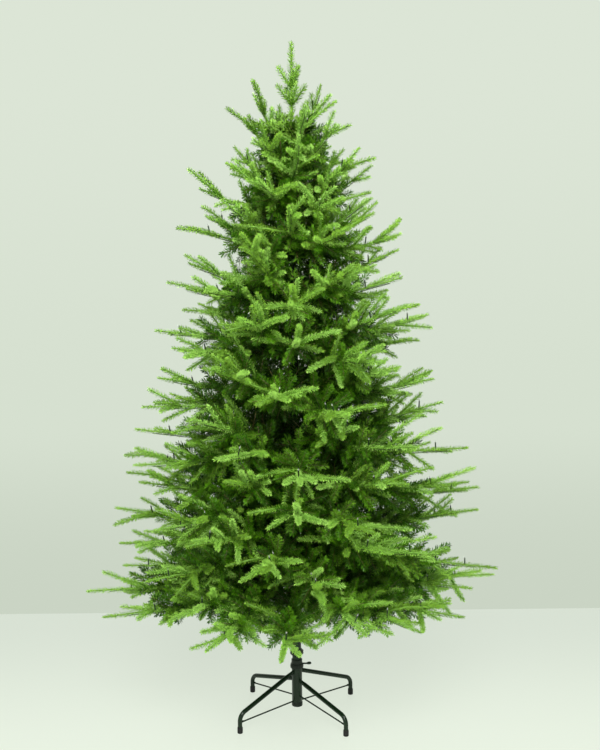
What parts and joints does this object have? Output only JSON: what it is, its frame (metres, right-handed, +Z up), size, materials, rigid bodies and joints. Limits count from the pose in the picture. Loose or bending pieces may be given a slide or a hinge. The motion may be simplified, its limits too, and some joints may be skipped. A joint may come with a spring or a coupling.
{
  "type": "christmas tree",
  "caption": "Artificial Christmas tree: cone of needle-covered boughs in tiers round a straight pole, on a folding stand with splayed legs.",
  "frame": {"origin": "on the floor, on the axis of the pole", "axes": "+Z up along the pole, -Y towards the viewer of the picture"},
  "size_m": [1.2772, 1.2595, 2.1],
  "materials": {
    "stand_metal": "semi-gloss powder coat, very dark green",
    "cap_plastic": "moulded, near black, faint satin",
    "foot_rubber": "moulded black rubber",
    "needles": "moulded and cut film needles, light yellow-green at the bough ends, dark green inside"
  },
  "bodies": {
    "root": {"stand_post": "stand_metal", "stand_cap": "cap_plastic", "thumbscrew": "stand_metal", "leg_1": "stand_metal", "brace_1": "stand_metal", "foot_1": "foot_rubber", "leg_2": "stand_metal", "brace_2": "stand_metal", "foot_2": "foot_rubber", "leg_3": "stand_metal", "brace_3": "stand_metal", "foot_3": "foot_rubber", "leg_4": "stand_metal", "brace_4": "stand_metal", "foot_4": "foot_rubber", "pole": "stand_metal", "pole_collar": "cap_plastic", "foliage_1_1": "needles", "foliage_1_2": "needles", "foliage_1_3": "needles", "foliage_1_4": "needles", "foliage_1_5": "needles", "foliage_1_6": "needles", "foliage_2_1": "needles", "foliage_2_2": "needles", "foliage_2_3": "needles", "foliage_2_4": "needles", "foliage_2_5": "needles", "foliage_2_6": "needles", "foliage_3_1": "needles", "foliage_3_2": "needles", "foliage_3_3": "needles", "foliage_3_4": "needles", "foliage_3_5": "needles", "foliage_4_1": "needles", "foliage_4_2": "needles", "foliage_4_3": "needles", "foliage_4_4": "needles", "foliage_4_5": "needles", "foliage_5_1": "needles", "foliage_5_2": "needles", "foliage_5_3": "needles", "foliage_5_4": "needles", "foliage_6_1": "needles", "foliage_6_2": "needles", "foliage_6_3": "needles", "foliage_6_4": "needles", "foliage_7_1": "needles", "foliage_7_2": "needles", "foliage_7_3": "needles", "foliage_8_1": "needles", "foliage_8_2": "needles", "foliage_8_3": "needles", "foliage_9_1": "needles", "foliage_9_2": "needles", "foliage_9_3": "needles", "foliage_10_1": "needles", "foliage_10_2": "needles", "foliage_leader": "needles"}
  },
  "joints": []
}
